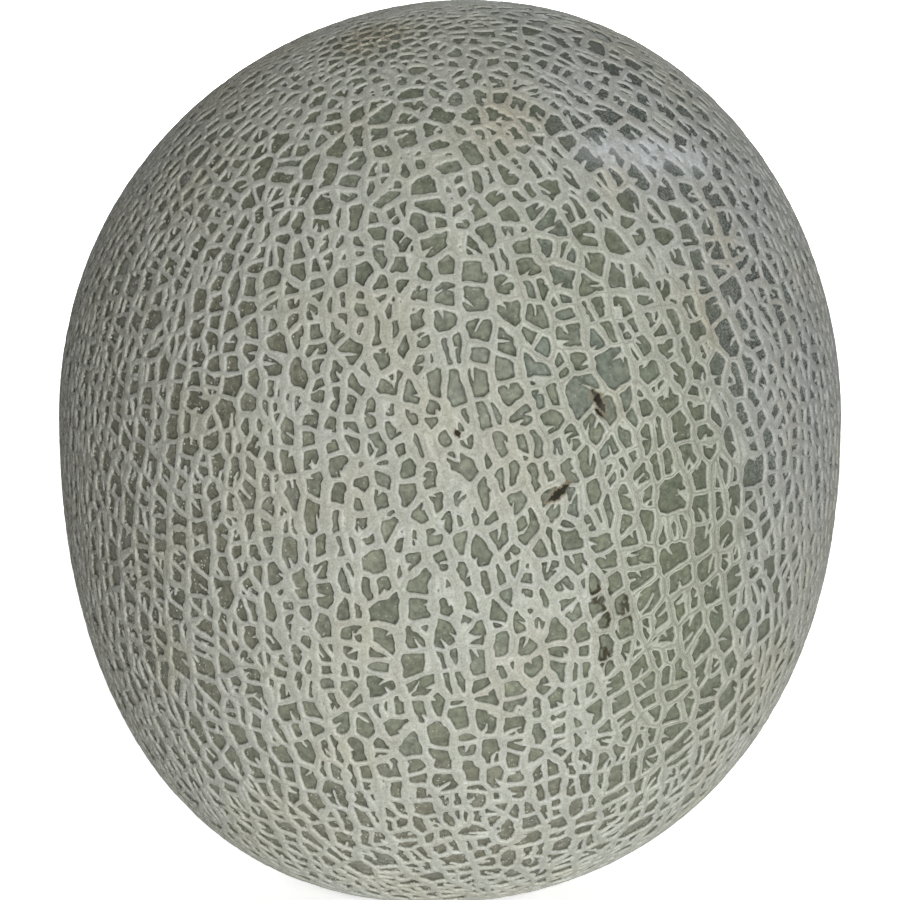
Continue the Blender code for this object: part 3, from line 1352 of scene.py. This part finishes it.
def cork_colour(nodes, edge):
    """Pale cork: lightest along its edges, where a highlight is painted, greyer on top, with painted
    shade in the split down the middle.
    """
    green = nodes.value("green")
    painted_shade = nodes.value("painted_shade")
    fibrous = nodes.value("fibrous")
    scar = nodes.value("scar")
    grain = nodes.noise(0.42, 3.0, 0.6)
    blotch = nodes.noise(2.6, 2.0, 0.5, 4.0)
    broad = nodes.noise(17.0, 1.0, 0.5, 9.0)
    colour = nodes.ramp(nodes.ranged(edge, -0.1, 0.9, smooth=False), CORK)
    # Painted highlight along the cork's rims, patchy, and stronger in the green band
    rim_highlight = nodes.times(nodes.ranged(edge, 0.02, 0.1), nodes.ranged(edge, 0.16, 0.4, 1.0, 0.0))
    rim_highlight_patchiness = nodes.ranged(nodes.noise(3.2, 2.0, 0.5, 21.0), 0.4, 0.65, 0.0, 0.65)
    rim_highlight = nodes.times(rim_highlight, nodes.plus(rim_highlight_patchiness, nodes.times(green, 0.3)))
    colour = nodes.mix(rim_highlight, colour, PAINTED_RIM_HIGHLIGHT)
    # Painted shade: the cork duller and darker on the sides and crown, where the light falls off
    colour = nodes.mix(nodes.times(painted_shade, 0.35), colour, PAINTED_SHADE_CORK)
    colour = nodes.tinted(green, colour, GREEN_TINT)
    colour = nodes.scaled(colour, nodes.ranged(painted_shade, 0.0, 1.0, 1.0, 0.76, smooth=False))
    colour = nodes.tinted(nodes.ranged(broad, 0.45, 0.75, 0, 0.8), colour, WARM_TINT)
    colour = nodes.tinted(nodes.value("blush"), colour, BLUSH_TINT)
    colour = nodes.tinted(nodes.value("frost"), colour, FROST_TINT)
    # Painted shade: a dark line down the middle of the strands, mostly in the green band, where they are
    # grooved
    groove_shade = nodes.ranged(nodes.noise(3.5, 2.0, 0.5, 2.0), 0.46, 0.68, 0.0, 0.3)
    groove_shade = nodes.plus(groove_shade, nodes.times(green, 0.5))
    groove_shade = nodes.times(nodes.ranged(nodes.value("middle"), 0.6, 1.0), groove_shade)
    colour = nodes.mix(groove_shade, colour, PAINTED_GROOVE_SHADE)
    seam = nodes.near(edge, nodes.ranged(blotch, 0.3, 0.7, 0.28, 0.44), 0.03, 0.1)
    seamed = nodes.ranged(nodes.noise(2.2, 2.0, 0.5, 12.0), 0.42, 0.6, 0.0, 0.5)
    lined = nodes.math("MAXIMUM", green, nodes.times(fibrous, 0.9))
    seamed = nodes.times(seamed, nodes.plus(lined, 0.1))
    colour = nodes.mix(nodes.times(seam, seamed), colour, SEAM)
    colour = nodes.mix(nodes.times(scar, 0.8), colour, SCAR)
    threads = nodes.near(nodes.noise(1.7, 2.0, 0.6, 31.0), 0.5, 0.015, 0.05, 0.9)
    colour = nodes.mix(nodes.times(threads, scar), colour, SCAR_THREAD)
    fibres = nodes.near(nodes.noise(1.25, 2.0, 0.6, 17.0, (1, 1, 0.2)), 0.5, 0.012, 0.06, 0.7)
    colour = nodes.mix(nodes.times(fibres, fibrous), colour, FIBRE)
    wisps = nodes.times(nodes.value("smear"), nodes.ranged(blotch, 0.35, 0.6, 0.3, 0.9))
    colour = nodes.mix(wisps, colour, SMEAR)
    light = nodes.ranged(grain, 0.25, 0.75, 0.73, 1.31, smooth=False)
    light = nodes.times(light, nodes.ranged(blotch, 0.3, 0.7, 0.9, 1.1, smooth=False))
    return nodes.scaled(colour, light), grain


def skin_colour(nodes, edge):
    """Grey-green skin: each opening its own tone, cloudy, with painted shade under the cork's edge and
    on the sides and crown.
    """
    tone = nodes.value("tone")
    frosted = nodes.value("frost")
    speckled = nodes.value("speckled")
    cloud = nodes.noise(1.1, 3.0, 0.6, 6.0)
    colour = nodes.ramp(tone, SKIN)
    cooler = nodes.times(nodes.value("cool"), nodes.ranged(tone, 0.3, 0.7, 0.0, 0.7))
    colour = nodes.mix(cooler, colour, COOL_SKIN)
    colour = nodes.mix(nodes.times(nodes.value("green"), 0.6), colour, GREEN_SKIN)
    colour = nodes.tinted(speckled, colour, SPECKLED_TINT)
    # Painted shade: the skin darker near the cork's edge, at the foot of its walls
    light = nodes.ranged(edge, -0.45, -0.12, 1.0, 0.75)
    light = nodes.times(light, nodes.ranged(cloud, 0.3, 0.72, 0.52, 1.48, smooth=False))
    # Painted shade: the skin darker on the sides and crown, where the light falls off
    light = nodes.times(light, nodes.ranged(nodes.value("painted_shade"), 0.0, 1.0, 1.0, 0.35, smooth=False))
    colour = nodes.scaled(colour, light)
    dots = nodes.ranged(nodes.off_spots(0.95), 0.13, 0.23, 1.0, 0.0)
    chosen = nodes.ranged(nodes.noise(4.0, 1.0, 0.5, 3.0), 0.42, 0.6, 0.1, 0.5)
    chosen = nodes.times(chosen, nodes.ranged(speckled, 0.0, 1.0, 0.6, 1.9))
    colour = nodes.mix(nodes.times(dots, chosen), colour, SPECK)
    crumbs = nodes.ranged(nodes.noise(0.75, 2.0, 0.6, 14.0), 0.6, 0.67, 0.0, 0.75)
    colour = nodes.mix(nodes.times(crumbs, nodes.value("ragged")), colour, CRUMB)
    frost = nodes.ranged(nodes.noise(0.38, 2.0, 0.7, 8.0), 0.47, 0.62, 0.0, 0.85)
    frost = nodes.times(frost, nodes.ranged(frosted, 0.25, 0.7))
    colour = nodes.mix(nodes.times(frosted, 0.88), colour, DARK_SKIN)
    colour = nodes.mix(frost, colour, FROST)
    colour = nodes.mix(nodes.times(nodes.value("smear"), 0.5), colour, SMEARED_SKIN)
    return colour, cloud


def rind_material():
    material = bpy.data.materials.new("rind")
    material.use_nodes = True
    nodes = Nodes(material)
    shader = material.node_tree.nodes["Principled BSDF"]
    edge = nodes.value("edge")
    cork, grain = cork_colour(nodes, edge)
    skin, cloud = skin_colour(nodes, edge)
    corky = nodes.ranged(edge, -0.11, -0.03)
    colour = nodes.mix(corky, skin, cork)
    streaked = nodes.ranged(off_lines_nodes(nodes, STREAKS), 0.9, 2.2, 1.0, 0.0)
    by_edge = nodes.near(edge, -0.06, 0.12, 0.38, 1.0, 0.12)
    colour = nodes.mix(nodes.times(streaked, by_edge), colour, STREAK)
    off_splits = off_lines_nodes(nodes, SPLITS)
    colour = nodes.mix(nodes.ranged(off_splits, 1.1, 2.2, 0.8, 0.0), colour, SPLIT_RIM)
    colour = nodes.mix(nodes.ranged(off_splits, 0.8, 1.3, 1.0, 0.0), colour, SPLIT_DARK)
    nodes.feed(shader.inputs["Base Color"], colour)
    nodes.feed(shader.inputs["Roughness"], nodes.ranged(corky, 0, 1, 0.55, 0.85, smooth=False))
    shader.inputs["Specular IOR Level"].default_value = 0.3
    bump = nodes.add("ShaderNodeBump")
    nodes.feed(bump.inputs["Height"], nodes.plus(nodes.times(grain, corky), nodes.times(cloud, 0.3)))
    bump.inputs["Strength"].default_value = 0.7
    bump.inputs["Distance"].default_value = 0.22 * MM
    nodes.feed(shader.inputs["Normal"], bump.outputs["Normal"])
    return material


def make_rind():
    """The whole rind, as one mesh for each sector."""
    net = grow_net()
    points, pairs = settle_strands(net)
    widths = widths_at_points(net, points, pairs)
    cells = Cells(net, points, widths)
    grow_spurs(cells, random.Random(SEED + 2))
    relief = raise_relief(cells, points, widths)
    places = finish_points(relief)
    triangles = np.array(relief.triangles)
    normals = smooth_normals(places, triangles)
    smooth = onto_rind(places)[0]
    values = values_at(places, relief)
    middles = cells.middle[np.array(relief.owners)]
    in_crown = middles[:, 2] > BELLY_HEIGHT
    sector = np.round(heading_of(middles) / SECTOR_WIDTH).astype(int) % len(SECTORS)
    material = rind_material()
    pieces = []
    for number, name in enumerate(SECTORS):
        own = sector == number
        turn = math.radians(number * SECTOR_WIDTH)
        corners_on_map = flat_map(smooth, triangles[own], in_crown[own], turn)
        piece = make_piece(name, places, normals, values, triangles[own], corners_on_map, material)
        pieces.append(piece)
    return pieces


# ---------------------------------------------------------------- the studio

def facing(place, aim):
    """The turn of a lamp or camera at a place that faces an aim."""
    return (Vector(aim) - Vector(place)).to_track_quat("-Z", "Y").to_euler()


def add_lamp(name, place, power, size, colour):
    light = bpy.data.lights.new(name, "AREA")
    light.shape = "DISK"
    light.energy = power
    light.size = size
    light.color = colour
    lamp = bpy.data.objects.new(name, light)
    lamp.location = place
    lamp.rotation_euler = facing(place, LAMP_AIM)
    lamp.visible_camera = False
    bpy.context.scene.collection.objects.link(lamp)


def floor_material():
    """Pale paint that glows a little, more so far from the fruit."""
    paint = bpy.data.materials.new("floor")
    paint.use_nodes = True
    shader = paint.node_tree.nodes["Principled BSDF"]
    shader.inputs["Base Color"].default_value = (0.9, 0.9, 0.9, 1)
    shader.inputs["Roughness"].default_value = 0.9
    shader.inputs["Specular IOR Level"].default_value = 0.0
    shader.inputs["Emission Color"].default_value = (1, 1, 1, 1)
    nodes = Nodes(paint)
    glow = nodes.ranged(nodes.vector("LENGTH", nodes.place), *FLOOR_GLOW, smooth=False)
    nodes.feed(shader.inputs["Emission Strength"], glow)
    return paint


def make_floor():
    """A pale round floor that turns up into a low wall, the same from every side."""
    net = bmesh.new()
    for radius, height in FLOOR_PROFILE:
        for k in range(FLOOR_SIDES):
            turn = 2 * math.pi * k / FLOOR_SIDES
            net.verts.new((radius * math.cos(turn), radius * math.sin(turn), height))
    net.verts.ensure_lookup_table()
    for start in range(0, len(net.verts) - FLOOR_SIDES, FLOOR_SIDES):
        for k in range(FLOOR_SIDES):
            after = (k + 1) % FLOOR_SIDES
            corners = (start + k, start + FLOOR_SIDES + k, start + FLOOR_SIDES + after, start + after)
            net.faces.new([net.verts[i] for i in corners]).smooth = True
    bmesh.ops.remove_doubles(net, verts=net.verts[:], dist=0.001)
    mesh = bpy.data.meshes.new("floor")
    net.to_mesh(mesh)
    net.free()
    mesh.materials.append(floor_material())
    floor = bpy.data.objects.new("floor", mesh)
    floor.visible_diffuse = False
    bpy.context.scene.collection.objects.link(floor)


def make_camera():
    view = bpy.data.cameras.new("camera")
    view.lens = SENSOR_WIDTH * CAMERA_DISTANCE / VIEW_WIDTH
    camera = bpy.data.objects.new("camera", view)
    elevation = math.radians(CAMERA_ELEVATION)
    back = Vector((0, -math.cos(elevation), math.sin(elevation))) * CAMERA_DISTANCE
    camera.location = Vector(CAMERA_AIM) + back
    camera.rotation_euler = facing(camera.location, CAMERA_AIM)
    bpy.context.scene.collection.objects.link(camera)
    bpy.context.scene.camera = camera


def make_world():
    world = bpy.data.worlds.new("studio")
    world.use_nodes = True
    background = world.node_tree.nodes["Background"]
    background.inputs["Color"].default_value = (*WORLD_COLOUR, 1)
    background.inputs["Strength"].default_value = WORLD_LIGHT
    bpy.context.scene.world = world


for piece in make_rind():
    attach(piece, "root")
    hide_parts("cantaloupe_melon")

make_floor()
make_world()
for lamp in LAMPS:
    add_lamp(*lamp)
make_camera()
bpy.context.scene.view_settings.view_transform = "Standard"
